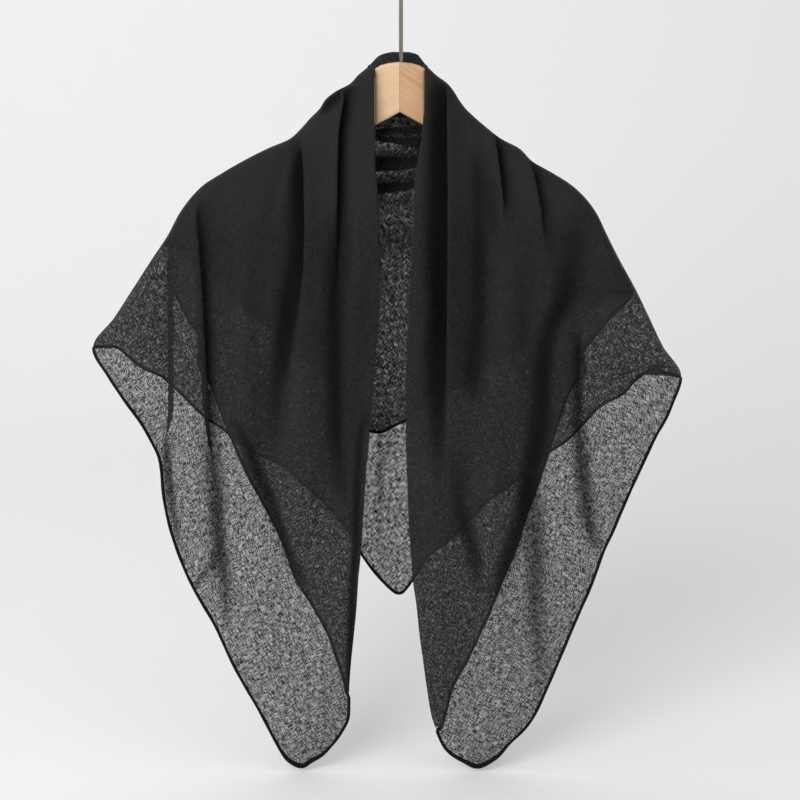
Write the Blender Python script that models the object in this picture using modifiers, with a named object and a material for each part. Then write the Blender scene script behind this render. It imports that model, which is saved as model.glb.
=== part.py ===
import bpy
import bmesh
import math
import numpy as np
from mathutils import Vector

# Square voile scarf folded to an uneven two layer triangle, worn over a wooden hanger.
# Lengths are in millimetres up to the solids, which are in metres. X is right, Z is up,
# the front faces -Y, and "drop" is the distance below the hanging point at the origin.

# Sizes of the cloth
WALL = 1.2                # wall of a cloth solid
LAYER_STEP = 3.2          # outer layer's middle to inner layer's middle
SEAM_GAP = 0.3            # between two solids that are one cloth
HEM_RADIUS = 1.9          # rolled hem
FOLD_PINCH = (LAYER_STEP - WALL - SEAM_GAP) / 2
TURN_GAP = 0.5            # half the gap where front meets back over the shoulder

# Sizes of the hanger
BLOCK_THICK = 13.0        # the wood at the neck
ARM_THICK = 10.0          # and beyond it
ARM_ROUND = 2.2
WIRE_RADIUS = 2.0
HOOK_BEND = 21.0          # middle of the wire round the rail
HOOK_SWAN = 9.0           # small bend between shank and hook
BLOCK_TOP = 115.0         # drop of the wood's top at the shank

# Sections of the two fronts: drop, outline and inner layer's hem on the left, fold edge
# left and right, outline and inner hem on the right
FRONT_COLUMNS = ("drop", "out_l", "in_l", "edge_l", "edge_r", "out_r", "in_r")
FRONT = (
    (121, -29, -29, -26, 24, 27, 27), (128, -38, -38, -26, 23, 35, 35),
    (136, -48, -48, -26, 23, 46, 46), (144, -65, -65, -26, 23, 55, 55),
    (152, -75, -75, -26, 23, 60, 60), (160, -80, -80, -26, 23, 65, 65),
    (170, -90, -90, -26, 22, 74, 74), (180, -99, -99, -25, 21, 86, 86),
    (190, -110, -110, -25, 20, 99, 99), (200, -136, -136, -25, 18, 118, 118),
    (212, -157, -157, -25, 16, 130, 130), (224, -178, -178, -24, 14, 151, 151),
    (236, -197, -197, -23, 13, 170, 170), (250, -211, -211, -22, 12, 185, 185),
    (265, -222, -222, -21, 12, 196, 196), (285, -233, -232, -21, 11, 206, 206),
    (310, -250, -229, -20, 10, 219, 219), (340, -270, -224, -21, 8, 236, 234),
    (370, -290, -212, -22, 7, 251, 205), (400, -312, -200, -25, 6, 266, 188),
    (430, -298, -192, -27, 5, 285, 176), (460, -275, -184, -29, 5, 274, 165),
    (490, -256, -173, -32, 5, 257, 154), (520, -245, -159, -35, 6, 245, 144),
    (550, -243, -145, -37, 7, 234, 136), (580, -238, -132, -39, 8, 221, 127),
    (610, -229, -119, -41, 10, 208, 118), (640, -218, -107, -44, 12, 198, 107),
    (670, -204, -91, -46, 16, 187, 94), (700, -189, -76, -49, 19, 176, 81),
    (730, -175, -66, -52, 23, 164, 68), (760, -161, -58, -54, 27, 152, 54),
    (790, -146, -57, -55, 32, 138, 47), (810, -136, -66, -64, 39, 125, 42),
    (825, -128, -77, -75, 46, 111, 48), (835, -122, -87, -85, 56, 102, 58),
    (842, -114, -99, -97, 69, 91, 71), (846, -107, -103, -102, 77, 83, 78),
)
WING_L, WING_R = 400.0, 431.0       # drop of the two wing tips
INNER_WING_L, INNER_WING_R = 296.0, 341.0   # where the inner hem turns to the back
INNER_TIP = 483.0         # lowest row of the inner layer on the back
FOOT = 846.0              # drop of the scarf's corners at the foot of the fronts
INNER_END_L, INNER_END_R = 768.0, 806.0   # the inner hem reaches the fold edge
# Sections of the back under the wings: drop, outer and inner hem left and right
BACK_COLUMNS = ("drop", "out_l", "in_l", "in_r", "out_r")
BACK = (
    (296, -241, -232, 211, 211), (320, -257, -203, 225, 225), (341, -271, -179, 236, 236),
    (360, -284, -160, 196, 246), (380, -297, -139, 160, 256), (400, -312, -118, 127, 266),
    (404, -288, -113, 120, 269), (418, -272, -97, 98, 277), (431, -253, -82, 79, 286),
    (434, -247, -78, 75, 262), (440, -240, -71, 66, 240), (448, -230, -63, 55, 231), (471, -207, -42, 24, 201),
    (483, -196, -31, 3, 191), (490, -187, -25, -17, 184), (499, -175, -22, -21, 173),
    (520, -143, -22, -21, 149), (536, -113, -22, -21, 130), (560, -92, -22, -21, 101),
    (586, -68, -22, -21, 74), (611, -49, -22, -21, 48), (630, -40, -22, -21, 28),
    (648, -28, -22, -21, 16), (660, -16, -22, -21, 8), (668, -5, -22, -21, 1),
)
# Rows of the back over the shoulders follow the fronts' outline, and over the neck this
ARCH = ((107, -4, 8), (109, -13, 14), (112, -17, 18), (116, -22, 21), (121, -27, 26))

# Half depth of the draped cloth: drop, near the neck, at the shoulder, at the back,
# and how far in from the outline the cloth turns from front to back
DEPTH_COLUMNS = ("drop", "neck", "side", "back", "turn")
DEPTH = (
    (107, 14, 12, 21, 12), (121, 14, 12, 20, 12), (150, 20, 12, 20, 15), (180, 25, 13, 24, 17),
    (240, 28, 14, 25, 17), (300, 28, 16, 24, 15), (400, 26, 18, 25, 15), (520, 22, 18, 28, 13),
    (700, 18, 16, 28, 12), (850, 15, 15, 28, 10),
)
ARM_CLEAR = 12.4          # least half depth of the outer layer beside the arms
ARM_END = 275.0           # drop where the arms are passed

# Folds of the fronts, from the shoulder down: side, three places (x, drop), width,
# overlap, height (positive where the part nearer the neck lies in front), fade at the end
FOLD_COLUMNS = ("side", "top", "mid", "low", "width", "overlap", "height", "fade")
FRONT_FOLDS = (
    ("l", (-56, 138), (-60, 215), (-72, 420), 13, 7, -8, 120),
    ("l", (-97, 178), (-103, 290), (-130, 450), 14, 8, 8, 110),
    ("l", (-207, 420), (-204, 520), (-190, 650), 12, 4, -6, 110),
    ("r", (45, 138), (42, 240), (46, 430), 13, 7, -9, 120),
    ("r", (92, 186), (100, 225), (98, 330), 13, 7, 10, 80),
    ("r", (127, 211), (137, 260), (146, 380), 13, 7, 10, 90),
    ("r", (199, 349), (184, 470), (186, 620), 11, 5, 6, 110),
)
# Swags of the back: drop at the middle, then where each meets the outline
SWAG_COLUMNS = ("middle", "x_l", "drop_l", "x_r", "drop_r", "width", "height")
SWAGS = (
    (183, -65, 144, 57, 146, 6, 7), (196, -90, 170, 84, 178, 6, 8),
    (215, -112, 192, 98, 190, 8, 8), (241, -134, 199, 128, 209, 10, 8),
)

# Upper and lower edge of the block's two halves and of the arms: x, drop of top, of bottom
BLOCK_L = ((-1.45, 115, 163.8), (-12, 116.2, 169.6), (-20, 118.2, 173.6), (-25.4, 121.6, 176.4))
BLOCK_R = ((-1.15, 115, 163.8), (11, 116.4, 170.4), (18.4, 118.6, 174.4), (23.6, 121.8, 177))
ARM_L = ((-15, 124, 168), (-26, 130, 176), (-34, 136.5, 178.5), (-50, 148, 184), (-72, 162, 191),
         (-95, 189, 216), (-130, 211, 238), (-160, 222, 249), (-184, 236, 260),
         (-193, 244, 263), (-197, 252, 258))
ARM_R = ((13, 124, 168), (24, 131, 176.4), (34, 138, 179.5), (48, 150, 187), (66, 175, 205),
         (90, 195, 224), (122, 212, 241), (150, 233, 260), (170, 246, 271),
         (181, 257, 275), (186, 264, 270))

# Drops of the rows of points on the neck's arch, over the shoulders, and below them
ARCH_ROWS = [108, 113, 118]
SHOULDER_ROWS = [124, 130, 137, 145, 153, 161, 169, 176, 183, 190, 197, 204, 211, 219, 227, 235,
                 244, 254, 267, 282, 296, 318, 341, 368, 393]
FRONT_ROWS = [409, 420, 455, 485, 520, 560, 600, 640, 680, 720, 748, 762, 786, 800, 815, 829,
              838, 843]
BACK_ROWS = [404, 412, 420, 433, 440, 455, 470, 483, 499, 520, 545, 575, 605, 632, 650, 661]

MM = 0.001


def smooth(t):
    t = np.clip(t, 0.0, 1.0)
    return t * t * (3 - 2 * t)


def column(rows, columns, name, drop):
    """Value of a table's column at a drop, on a monotone cubic through its rows."""
    x = np.array([r[0] for r in rows], float)
    y = np.array([r[columns.index(name)] for r in rows], float)
    h, d = np.diff(x), np.diff(y) / np.diff(x)
    m = np.zeros(len(x))
    same = d[1:] * d[:-1] > 0
    w1, w2 = 2 * h[1:] + h[:-1], h[1:] + 2 * h[:-1]
    safe = np.where(same, d[1:], 1.0), np.where(same, d[:-1], 1.0)
    m[1:-1] = np.where(same, (w1 + w2) / (w1 / safe[1] + w2 / safe[0]), 0.0)
    m[0], m[-1] = d[0], d[-1]
    drop = np.clip(np.asarray(drop, float), x[0], x[-1])
    i = np.clip(np.searchsorted(x, drop) - 1, 0, len(h) - 1)
    t = (drop - x[i]) / h[i]
    return (y[i] * (1 + 2 * t) * (1 - t) ** 2 + h[i] * m[i] * t * (1 - t) ** 2
            + y[i + 1] * t * t * (3 - 2 * t) + h[i] * m[i + 1] * t * t * (t - 1))


def front_table(name, drop):
    return column(FRONT, FRONT_COLUMNS, name, drop)


def depth_table(name, drop):
    return column(DEPTH, DEPTH_COLUMNS, name, drop)


def s_curve(u):
    return u * np.exp((1 - u * u) / 2)


def turn_in(inside, reach):
    """0 at the outline, 1 once the cloth has turned to the front or back."""
    t = np.clip(inside / reach, 0.0, 1.0)
    return np.sqrt(np.maximum(1 - (1 - t) ** 2, 0.0))


def hold_off(depth, drop):
    """Keeps the cloth clear of the arms that it lies on."""
    least = ARM_CLEAR * (1 - smooth((drop - ARM_END) / 30)) + 2.0
    over = (depth - least) / 2.5
    return least + 2.5 * np.logaddexp(0.0, over)


def front_point(side, x, drop):
    """A point of the outer layer on the left or right front."""
    x, drop = np.asarray(x, float), np.asarray(drop, float)
    sign = -1.0 if side == "l" else 1.0
    outline = front_table("out_" + side, drop)
    edge = front_table("edge_" + side, drop)
    wing = WING_L if side == "l" else WING_R
    away = np.abs(x - edge)
    near = np.exp(-(away / 95.0) ** 2)
    depth = depth_table("side", drop) + (depth_table("neck", drop) - depth_table("side", drop)) * near
    shift = np.zeros_like(depth)
    for fold_side, top, mid, low, width, overlap, height, fade in FRONT_FOLDS:
        if fold_side != side:
            continue
        knots = np.array([top, mid, low], float)
        line = np.polynomial.polynomial.Polynomial.fit(knots[:, 1], knots[:, 0], 2)
        span = np.clip(drop, top[1], low[1] + 60)
        u = -sign * (x - line(span)) / width
        grow = smooth((drop - top[1] + 8) / 75) * (1 - smooth((drop - low[1] + fade) / fade))
        shift += -sign * -overlap * grow * s_curve(u)
        depth += height * grow * s_curve(u)
    shift = shift * (1 - np.exp(-(away / 14.0) ** 2))
    depth = hold_off(depth, drop)
    free = smooth((drop - wing) / 60)
    turned = turn_in(sign * (outline - x), depth_table("turn", drop))
    turned = free + (1 - free) * turned
    y = -np.maximum(depth * turned, TURN_GAP)
    return np.stack([x + shift * turned, y, -drop], axis=-1)


def back_sides(drop):
    """Outline of the back at a drop: the neck's arch, the shoulders, then the hems."""
    arch_l, arch_r = (np.interp(drop, [r[0] for r in ARCH], [r[i] for r in ARCH]) for i in (1, 2))
    left, right = front_table("out_l", drop), front_table("out_r", drop)
    hem_l, hem_r = (column(BACK, BACK_COLUMNS, n, drop) for n in ("out_l", "out_r"))
    left = np.where(drop < 121, arch_l, np.where(drop > WING_L - 3, hem_l, left))
    right = np.where(drop < 121, arch_r, np.where(drop > WING_R - 3, hem_r, right))
    return left, right


def back_point(x, drop):
    """A point of the outer layer on the back."""
    x, drop = np.asarray(x, float), np.asarray(drop, float)
    depth = depth_table("back", drop) * np.ones_like(x)
    for middle, x_l, drop_l, x_r, drop_r, width, height in SWAGS:
        side_x = np.where(x < 0, x_l, x_r)
        rise = middle - np.where(x < 0, drop_l, drop_r)
        reach = np.clip(np.abs(x / side_x), 0, 1.15)
        line = middle - rise * reach ** 1.8
        slope = 1.8 * rise * reach ** 0.8 / np.abs(side_x)
        u = (drop - line) / np.sqrt(1 + slope ** 2) / width
        depth += height * np.exp(-u * u) * (1 - smooth((reach - 0.75) / 0.4))
    away = np.clip((np.abs(x) - 60) / 180, 0, 1)
    depth = depth * (1 - away) + depth_table("side", drop) * away
    depth += 4.0 * np.sin(x / 31.0 + drop / 190.0) * smooth((drop - 260) / 120) * (1 - away)
    depth = hold_off(depth, drop)
    limit_l = np.where(drop < 121, -27.0, front_table("out_l", np.minimum(drop, WING_L)))
    limit_r = np.where(drop < 121, 27.0, front_table("out_r", np.minimum(drop, WING_R)))
    reach = depth_table("turn", drop)
    left_free, right_free = smooth((drop - WING_L) / 60), smooth((drop - WING_R) / 60)
    left = left_free + (1 - left_free) * turn_in(x - limit_l, reach)
    right = right_free + (1 - right_free) * turn_in(limit_r - x, reach)
    y = np.maximum(depth * np.minimum(left, right), TURN_GAP)
    return np.stack([x, y, -drop], axis=-1)


def spaced(place, folds, left, right, drop, cells):
    """x of a section's columns from left to right, closer together where it folds."""
    fine = np.linspace(left, right, 400)
    line = place(fine, np.full(400, float(drop)))
    step = np.linalg.norm(np.diff(line, axis=0), axis=1)
    middle = (fine[1:] + fine[:-1]) / 2
    for x, width, more in folds:
        step *= 1 + more * np.exp(-((middle - x) / (1.4 * width)) ** 2)
    run = np.concatenate([[0], np.cumsum(step)])
    return np.interp(np.linspace(0, run[-1], cells + 1), run, fine)


def inset(values, drops):
    """Distance in x that keeps a panel clear of its hem, from the hem's slope."""
    sides = np.abs(np.diff(values) / np.diff(drops))
    slope = np.maximum(np.append(sides, 0.0), np.insert(sides, 0, 0.0))
    return (HEM_RADIUS + SEAM_GAP + 0.15) * np.sqrt(1 + np.minimum(slope, 6.0) ** 2)


def vertex_normals(grid):
    across = np.gradient(grid, axis=1)
    along = np.gradient(grid, axis=0)
    normal = np.cross(across, along)
    return normal / np.linalg.norm(normal, axis=-1, keepdims=True)


def front_panels(side, drops, inner_cells, outer_cells):
    """Middle surfaces of both layers of a front, and the path of its hems.

    Both layers share rows and columns, so that they stay parallel. Columns run from the
    fold edge to the inner layer's hem, then on to the outline.
    """
    sign = -1.0 if side == "l" else 1.0
    wing, low = (WING_L, INNER_WING_L) if side == "l" else (WING_R, INNER_WING_R)
    end = INNER_END_L if side == "l" else INNER_END_R
    drops = np.asarray(drops, float)
    outline, edge = front_table("out_" + side, drops), front_table("edge_" + side, drops)
    hem = front_table("in_" + side, drops)
    trim = inset(edge, drops) * smooth((drops - end + 24) / 14)
    first = edge + sign * trim
    last = outline - sign * np.where(drops > wing - 2, inset(outline, drops), 0.0)
    share = 0.80 + 0.16 * smooth((drops - 200) / (low - 200))
    split = np.where(drops < low, first + (last - first) * share, hem)
    foot = first + (last - first) * 0.35
    split = np.where(drops > end - 19, foot, split)
    place = lambda a, b: front_point(side, a, b)
    grid, columns = [], []
    for drop, x0, x1, x2 in zip(drops, first, split, last):
        folds = []
        for fold_side, top, mid, foot_, width, overlap, height, fade in FRONT_FOLDS:
            if fold_side == side and top[1] < drop < foot_[1]:
                middle = np.interp(drop, [top[1], mid[1], foot_[1]], [top[0], mid[0], foot_[0]])
                folds.append((middle, width, 1.2))
        if drop < wing:
            folds.append((x2, 5, 3.0))
        x = np.concatenate([spaced(place, folds, x0, x1, drop, inner_cells)[:-1],
                            spaced(place, folds, x1, x2, drop, outer_cells)])
        columns.append(x)
        grid.append(place(x, np.full(len(x), drop)))
    grid, columns = np.array(grid), np.array(columns)
    normal = vertex_normals(grid) * sign
    turned = drops < wing
    normal[turned, -1, 1] = 0.0
    normal /= np.linalg.norm(normal, axis=-1, keepdims=True)
    outer, inner = grid.copy(), grid + normal * LAYER_STEP
    held = FOLD_PINCH * (1 - smooth((drops - end + 70) / 40))
    outer[:, 0] += normal[:, 0] * held[:, None]
    inner[:, 0] -= normal[:, 0] * held[:, None]
    hem_line = inner[:, inner_cells] + normal[:, inner_cells] * 0.7
    cut = inset(hem, drops)
    for i, drop in enumerate(drops):
        if low <= drop <= end - 19:
            x = columns[i, :inner_cells + 1]
            drawn_in = x[0] + (x - x[0]) * (1 - cut[i] / abs(x[-1] - x[0]))
            inner[i, :inner_cells + 1] = along_row(inner[i, :inner_cells + 1], x, drawn_in)
    return outer, inner, hem_line


def along_row(points, x, wanted):
    """Points of a row at other places of its columns' x."""
    order = np.argsort(x)
    return np.stack([np.interp(wanted, x[order], points[order, k]) for k in range(3)], axis=1)


def back_panels(drops, side_cells, middle_cells):
    """Middle surfaces of both layers of the back, and the path of the inner hem."""
    drops = np.asarray(drops, float)
    left, right = back_sides(drops)
    left = left + np.where(drops > WING_L - 3, inset(left, drops), 0.0)
    right = right - np.where(drops > WING_R - 3, inset(right, drops), 0.0)
    hem_l, hem_r = (column(BACK, BACK_COLUMNS, n, drops) for n in ("in_l", "in_r"))
    width = right - left
    share_l = 0.28 - 0.24 * smooth((drops - 200) / (INNER_WING_L - 200))
    share_r = 0.28 - 0.24 * smooth((drops - 200) / (INNER_WING_R - 200))
    split_l = np.where(drops < INNER_WING_L, left + width * share_l, hem_l)
    split_r = np.where(drops < INNER_WING_R, right - width * share_r, hem_r)
    below = drops > INNER_TIP
    split_l = np.where(below, left + width * 0.3, split_l)
    split_r = np.where(below, right - width * 0.3, split_r)
    grid, columns = [], []
    for drop, x0, x1, x2, x3 in zip(drops, left, split_l, split_r, right):
        turns = [(x0, 5, 3.0 * (drop < WING_L)), (x3, 5, 3.0 * (drop < WING_R))]
        x = np.concatenate([spaced(back_point, turns, x0, x1, drop, side_cells)[:-1],
                            spaced(back_point, turns, x1, x2, drop, middle_cells)[:-1],
                            spaced(back_point, turns, x2, x3, drop, side_cells)])
        columns.append(x)
        grid.append(back_point(x, np.full(len(x), drop)))
    grid, columns = np.array(grid), np.array(columns)
    normal = -vertex_normals(grid)
    normal[(drops > 121) & (drops < WING_L), 0, 1] = 0.0
    normal[(drops > 121) & (drops < WING_R), -1, 1] = 0.0
    normal /= np.linalg.norm(normal, axis=-1, keepdims=True)
    outer, inner = grid.copy(), grid + normal * LAYER_STEP
    last = side_cells + middle_cells
    paths = [inner[:, at] + normal[:, at] * 0.7 for at in (side_cells, last)]
    cuts = inset(hem_l, drops), inset(hem_r, drops)
    for i, drop in enumerate(drops):
        if drop < INNER_WING_L or drop > INNER_TIP:
            continue
        at = last if drop >= INNER_WING_R else columns.shape[1] - 1
        x = columns[i, side_cells:at + 1]
        low, high = x[0] + cuts[0][i], x[-1] - (cuts[1][i] if at == last else 0.0)
        drawn_in = low + (x - x[0]) * (high - low) / (x[-1] - x[0])
        inner[i, side_cells:at + 1] = along_row(inner[i, side_cells:at + 1], x, drawn_in)
    return outer, inner, *paths


MATERIALS = {
    "voile": ((0.03, 0.03, 0.032), 0.9, 0.0),
    "hem": ((0.022, 0.022, 0.024), 0.9, 0.0),
    "wood": ((0.62, 0.42, 0.26), 0.5, 0.0),
    "steel": ((0.62, 0.62, 0.62), 0.28, 1.0),
}


def material(name, kind):
    color, rough, metal = MATERIALS[kind]
    made = bpy.data.materials.new(name)
    made.use_nodes = True
    shader = made.node_tree.nodes["Principled BSDF"]
    shader.inputs["Base Color"].default_value = (*color, 1.0)
    shader.inputs["Roughness"].default_value = rough
    shader.inputs["Metallic"].default_value = metal
    return made


def finish(name, bm, kind):
    bmesh.ops.recalc_face_normals(bm, faces=bm.faces)
    mesh = bpy.data.meshes.new(name)
    bm.to_mesh(mesh)
    bm.free()
    obj = bpy.data.objects.new(name, mesh)
    bpy.context.scene.collection.objects.link(obj)
    mesh.materials.append(material(name, kind))
    return obj


def cloth(name, grid, keep=None):
    """A wall of cloth about a grid of points in millimetres, less the cells not kept."""
    rows, count = grid.shape[:2]
    bm = bmesh.new()
    bmesh.ops.create_grid(bm, x_segments=count - 1, y_segments=rows - 1, size=1.0)
    order = sorted(bm.verts, key=lambda v: (round(v.co.y, 5), round(v.co.x, 5)))
    place = {vert: divmod(i, count) for i, vert in enumerate(order)}
    if keep is not None:
        gone = [f for f in bm.faces
                if not keep(min(place[v][0] for v in f.verts), min(place[v][1] for v in f.verts))]
        bmesh.ops.delete(bm, geom=gone, context="FACES")
    for vert, (row, col) in place.items():
        if vert.is_valid:
            vert.co = Vector(grid[row, col] * MM)
    obj = finish(name, bm, "voile")
    wall = obj.modifiers.new("wall", "SOLIDIFY")
    wall.thickness = WALL * MM
    wall.offset = 0.0
    return obj


def rolled_hem(name, path, sides=6):
    """A rolled hem: one ring of points at each place of its path."""
    path = np.array(path)
    tangent = np.gradient(path, axis=0)
    tangent /= np.linalg.norm(tangent, axis=1, keepdims=True)
    bm = bmesh.new()
    frame = Vector((0.0, 1.0, 0.0))
    loops = []
    for point, direction in zip(path, tangent):
        direction = Vector(direction)
        frame = (frame - direction * frame.dot(direction)).normalized()
        other = direction.cross(frame)
        ring = []
        for i in range(sides):
            angle = 2 * math.pi * i / sides
            offset = (frame * math.cos(angle) + other * math.sin(angle)) * HEM_RADIUS
            ring.append(bm.verts.new((Vector(point) + offset) * MM))
        edges = [bm.edges.new((ring[i], ring[(i + 1) % sides])) for i in range(sides)]
        loops.append(edges)
    for first, second in zip(loops, loops[1:]):
        bmesh.ops.bridge_loops(bm, edges=first + second)
    bmesh.ops.holes_fill(bm, edges=loops[0] + loops[-1], sides=sides)
    return finish(name, bm, "hem")


def shortened(points, start, end):
    """A path with its ends cut back, its other corners kept."""
    points = np.array(points, float)
    run = np.concatenate([[0], np.cumsum(np.linalg.norm(np.diff(points, axis=0), axis=1))])
    inside = (run > start + 1.5) & (run < run[-1] - end - 1.5)
    places = np.concatenate([[start], run[inside], [run[-1] - end]])
    return np.stack([np.interp(places, run, points[:, i]) for i in range(3)], axis=1)


def plank(name, table, thick, open_end):
    """A strip of wood between two edges, extruded and rounded, its joint left square."""
    bm = bmesh.new()
    top = [(x, -thick / 2, -t) for x, t, b in table]
    low = [(x, -thick / 2, -b) for x, t, b in reversed(table)]
    face = bm.faces.new([bm.verts.new(Vector(p) * MM) for p in top + low])
    made = bmesh.ops.extrude_face_region(bm, geom=[face])
    moved = [g for g in made["geom"] if isinstance(g, bmesh.types.BMVert)]
    bmesh.ops.translate(bm, verts=moved, vec=(0, thick * MM, 0))
    long_edges = [e for e in bm.edges
                  if abs(e.verts[0].co.y - e.verts[1].co.y) < MM
                  and (not open_end or max(abs(v.co.x) for v in e.verts) > 2 * MM)]
    bmesh.ops.bevel(bm, geom=long_edges, offset=ARM_ROUND * MM, segments=2, profile=0.5,
                    affect="EDGES")
    return finish(name, bm, "wood")


def arm(name, block, table):
    """Half of the hanger's wood: its half of the block at the neck, with an arm let in."""
    first = plank(name, block, BLOCK_THICK, True)
    second = plank(name + "_root", table, ARM_THICK, False)
    joint = first.modifiers.new("joint", "BOOLEAN")
    joint.operation, joint.solver, joint.object = "UNION", "EXACT", second
    whole = first.evaluated_get(bpy.context.evaluated_depsgraph_get())
    mesh = bpy.data.meshes.new_from_object(whole)
    first.modifiers.clear()
    first.data = mesh
    bpy.data.objects.remove(second)


def hook():
    """Shank, small bend and open hook of round wire."""
    middle = -(HOOK_BEND - WIRE_RADIUS)
    points = [(0, -BLOCK_TOP + 0.3), (0, -BLOCK_TOP + 30)]
    foot = middle - HOOK_BEND
    for i in range(7):
        a = math.radians(15 * i)
        points.append((HOOK_SWAN * (1 - math.cos(a)), foot - HOOK_SWAN + HOOK_SWAN * math.sin(a)))
    start = math.degrees(math.asin(HOOK_SWAN / HOOK_BEND))
    for i in range(1, 19):
        a = math.radians(-90 + start + i * (285 - start) / 18)
        points.append((HOOK_BEND * math.cos(a), middle + HOOK_BEND * math.sin(a)))
    curve = bpy.data.curves.new("hook", "CURVE")
    curve.dimensions = "3D"
    curve.bevel_depth = WIRE_RADIUS * MM
    curve.bevel_resolution = 2
    curve.use_fill_caps = True
    line = curve.splines.new("POLY")
    line.points.add(len(points) - 1)
    for knot, (x, z) in zip(line.points, points):
        knot.co = (x * MM, 0.0, z * MM, 1.0)
    temp = bpy.data.objects.new("hook_line", curve)
    bpy.context.scene.collection.objects.link(temp)
    bm = bmesh.new()
    bm.from_mesh(bpy.data.meshes.new_from_object(temp))
    bmesh.ops.remove_doubles(bm, verts=bm.verts, dist=0.00005)
    bpy.data.objects.remove(temp)
    return finish("hook", bm, "steel")


def build():
    for obj in list(bpy.data.objects):
        bpy.data.objects.remove(obj)
    rows = np.array(SHOULDER_ROWS + FRONT_ROWS, float)
    back_rows = np.array(ARCH_ROWS + SHOULDER_ROWS + BACK_ROWS, float)
    back_outer, back_inner, *back_hems = back_panels(back_rows, 4, 9)
    cloth("back_outer", back_outer)

    def inner_back(row, col):
        low = back_rows[row + 1]
        return (low <= INNER_TIP and (low <= INNER_WING_L or col >= 4)
                and (low <= INNER_WING_R or col < 13))

    cloth("back_inner", back_inner, inner_back)
    for side, word in (("l", "left"), ("r", "right")):
        wing, low, end = ((WING_L, INNER_WING_L, INNER_END_L) if side == "l"
                          else (WING_R, INNER_WING_R, INNER_END_R))
        outer, inner, hem_line = front_panels(side, rows, 8, 4)
        cloth(f"front_{word}_outer", outer)
        cloth(f"front_{word}_inner", inner,
              lambda row, col: rows[row + 1] <= end - 19 and (rows[row + 1] <= low or col < 8))
        front = np.append(rows[rows > wing], FOOT)[::-1]
        behind = back_rows[back_rows > wing]
        path = np.concatenate([
            front_point(side, front_table("out_" + side, front), front),
            front_point(side, front_table("out_" + side, wing), wing)[None] * [1, 0, 1],
            back_point(back_sides(behind)[0 if side == "l" else 1], behind)])
        rolled_hem(f"hem_{word}_outer", shortened(path, HEM_RADIUS + 0.5, HEM_RADIUS + 0.5))
        short = np.append(rows[rows > end - 9], FOOT)[::-1]
        above = (rows > low) & (rows <= end - 19)
        under = (back_rows > low) & (back_rows <= INNER_TIP)
        foot = front_point(side, front_table("edge_" + side, short), short)
        foot[:, 1] += 3.6 * (1 - smooth((short - end + 6) / 14))
        sign = -1.0 if side == "l" else 1.0
        turn = front_table("out_" + side, low + 5) - sign * LAYER_STEP
        path = np.concatenate([
            foot, hem_line[above][::-1], [[turn - sign * 4, -5.0, -low - 8],
                                          [turn, 0.0, -low - 5], [turn - sign * 4, 5.0, -low - 8]],
            back_hems[0 if side == "l" else 1][under]])
        rolled_hem(f"hem_{word}_inner", shortened(path, HEM_RADIUS + 0.5, HEM_RADIUS + 0.5))
    arm("arm_left", BLOCK_L, ARM_L)
    arm("arm_right", BLOCK_R, ARM_R)
    hook()


build()
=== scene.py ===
import math
import bmesh
import bpy
import numpy as np
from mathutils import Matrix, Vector


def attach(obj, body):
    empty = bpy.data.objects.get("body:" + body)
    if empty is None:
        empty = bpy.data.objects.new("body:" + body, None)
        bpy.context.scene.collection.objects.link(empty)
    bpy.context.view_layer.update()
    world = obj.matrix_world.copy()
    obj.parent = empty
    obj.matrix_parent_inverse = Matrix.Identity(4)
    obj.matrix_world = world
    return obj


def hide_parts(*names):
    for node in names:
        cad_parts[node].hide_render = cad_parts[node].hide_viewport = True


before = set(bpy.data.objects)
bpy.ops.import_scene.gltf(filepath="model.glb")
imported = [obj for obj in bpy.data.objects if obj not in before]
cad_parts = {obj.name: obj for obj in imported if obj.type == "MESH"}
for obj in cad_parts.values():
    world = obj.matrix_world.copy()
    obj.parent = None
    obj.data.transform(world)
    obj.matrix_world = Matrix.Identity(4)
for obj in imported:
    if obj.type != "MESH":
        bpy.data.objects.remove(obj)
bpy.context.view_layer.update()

mm = 0.001
scene = bpy.context.scene

# A square of black voile, folded to two uneven layers, hangs over a wooden hanger.
# Tables are in millimetres: x is right, "drop" is down from the hook's rail, front is -Y.

# Camera at the photograph's angle: distance and height aimed at in metres, degrees down, lens
# and sensor in mm, and sideways shift as a share of the frame
cameraSet = {"distance": 2.0, "pitch": 12.0, "aim": -0.455, "lens": 88.25, "sensor": 36.0,
             "shift": -0.00125}

pitch = math.radians(cameraSet["pitch"])
cameraData = bpy.data.cameras.new("camera")
cameraData.lens = cameraSet["lens"]
cameraData.sensor_width = cameraSet["sensor"]
cameraData.shift_x = cameraSet["shift"]
cameraObj = bpy.data.objects.new("camera", cameraData)
cameraObj.location = (0.0, -cameraSet["distance"] * math.cos(pitch),
                      cameraSet["aim"] + cameraSet["distance"] * math.sin(pitch))
cameraObj.rotation_euler = (math.radians(90.0) - pitch, 0.0, 0.0)
scene.collection.objects.link(cameraObj)
scene.camera = cameraObj
scene.view_settings.view_transform = "Standard"


def linear(code):
    # sRGB hex to linear colour
    parts = [int(code[i:i + 2], 16) / 255.0 for i in (1, 3, 5)]
    parts = [c / 12.92 if c <= 0.04045 else ((c + 0.055) / 1.055) ** 2.4 for c in parts]
    return tuple(parts) + (1.0,)


def addNode(made, kind, settings, links):
    node = made.node_tree.nodes.new(kind)
    for name, value in settings.items():
        if isinstance(name, str) and hasattr(node, name):
            setattr(node, name, value)
        else:
            node.inputs[name].default_value = value
    for name, source in links.items():
        made.node_tree.links.new(source, node.inputs[name])
    return node


def newMaterial(name, sockets):
    made = bpy.data.materials.new(name)
    made.use_nodes = True
    shader = made.node_tree.nodes["Principled BSDF"]
    for socket, value in sockets.items():
        shader.inputs[socket].default_value = value
    return made, shader


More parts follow.
